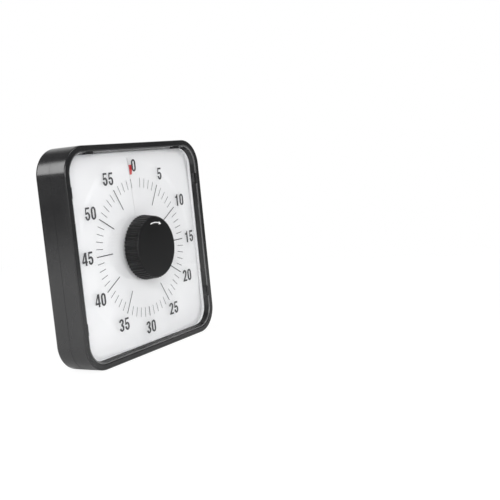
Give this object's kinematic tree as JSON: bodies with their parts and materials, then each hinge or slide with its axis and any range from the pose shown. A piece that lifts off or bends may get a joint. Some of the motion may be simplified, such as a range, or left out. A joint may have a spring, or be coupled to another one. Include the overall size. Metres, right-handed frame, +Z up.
{
  "type": "visual countdown timer",
  "caption": "Square desk timer: a ribbed knob winds a red disc through a slit dial behind a clear lens; fold-out stand, magnets and keyhole at the back.",
  "frame": {"origin": "centre of the flat base, half way between the front rim and the back", "axes": "+X to the right seen from the front, +Y to the back, +Z up"},
  "size_m": [0.19, 0.0435, 0.187],
  "materials": {
    "case_black": "satin moulded black plastic",
    "clear": "clear acrylic",
    "dial_white": "matt white sheet",
    "disc_red": "matt red sheet",
    "hub_grey": "moulded acetal",
    "knob_black": "satin moulded black plastic",
    "screw_steel": "zinc-plated steel",
    "cell_wrap": "plain cell sleeve",
    "contact_nickel": "nickel-plated spring steel",
    "magnet_nickel": "nickel-plated magnet",
    "board_green": "solder mask",
    "switch_metal": "tinned steel",
    "slider_grey": "moulded plastic",
    "buzzer_black": "moulded plastic",
    "movement_plastic": "moulded plastic",
    "gear_white": "natural acetal",
    "iron": "soft iron lamination",
    "copper": "enamelled copper wire"
  },
  "bodies": {
    "case": {"front_case": "case_black", "lens": "clear", "dial_plate": "dial_white", "dial": "dial_white", "rear_case": "case_black", "case_screws": "screw_steel", "aa_cell": "cell_wrap", "battery_plate": "contact_nickel", "battery_spring": "contact_nickel", "kickstand_pin": "screw_steel", "magnets": "magnet_nickel", "circuit_board": "board_green", "board_screws": "screw_steel", "switch_body": "switch_metal", "buzzer": "buzzer_black", "movement_cover": "movement_plastic", "movement_base": "movement_plastic", "movement_screws": "screw_steel", "stator": "iron", "coil": "copper"},
    "knob": {"knob": "knob_black", "spindle": "hub_grey", "centre_wheel": "gear_white"},
    "red_disc": {"countdown_disc": "disc_red", "disc_tab": "disc_red", "disc_hub": "hub_grey", "disc_clamp": "hub_grey"},
    "second_wheel": {"second_wheel": "gear_white"},
    "rotor": {"rotor": "gear_white"},
    "battery_door": {"battery_door": "case_black"},
    "kickstand": {"kickstand": "case_black"},
    "volume_slider": {"volume_slider": "slider_grey"}
  },
  "joints": [
    {"name": "knob_turn", "type": "hinge", "parent": "case", "child": "knob", "pos_m": [0, 0, 0.0935], "axis": [0, 1, 0], "range_deg": [0, 360]},
    {"name": "disc_feed", "type": "slide", "parent": "knob", "child": "red_disc", "axis": [0, -1, 0], "range_m": [0, 0.002]},
    {"name": "second_wheel_spin", "type": "hinge", "parent": "case", "child": "second_wheel", "pos_m": [-0.01701, 0.0015, 0.08731], "axis": [0, 1, 0], "range_deg": [-1800, 0]},
    {"name": "rotor_spin", "type": "hinge", "parent": "case", "child": "rotor", "pos_m": [-0.01543, 0.0035, 0.07733], "axis": [0, 1, 0], "range_deg": [0, 7200]},
    {"name": "battery_door_lift", "type": "slide", "parent": "case", "child": "battery_door", "axis": [0, 1, 0], "range_m": [0, 0.03]},
    {"name": "kickstand_fold", "type": "hinge", "parent": "case", "child": "kickstand", "pos_m": [0, 0.0143, 0.0604], "axis": [1, 0, 0], "range_deg": [0, 40]},
    {"name": "volume_slide", "type": "slide", "parent": "case", "child": "volume_slider", "axis": [1, 0, 0], "range_m": [0, 0.008]}
  ],
  "couplings": [
    {"joint": "disc_feed", "follows": "knob_turn", "m_per_rad": 0.00031831},
    {"joint": "second_wheel_spin", "follows": "knob_turn", "ratio": -5},
    {"joint": "rotor_spin", "follows": "knob_turn", "ratio": 20}
  ]
}
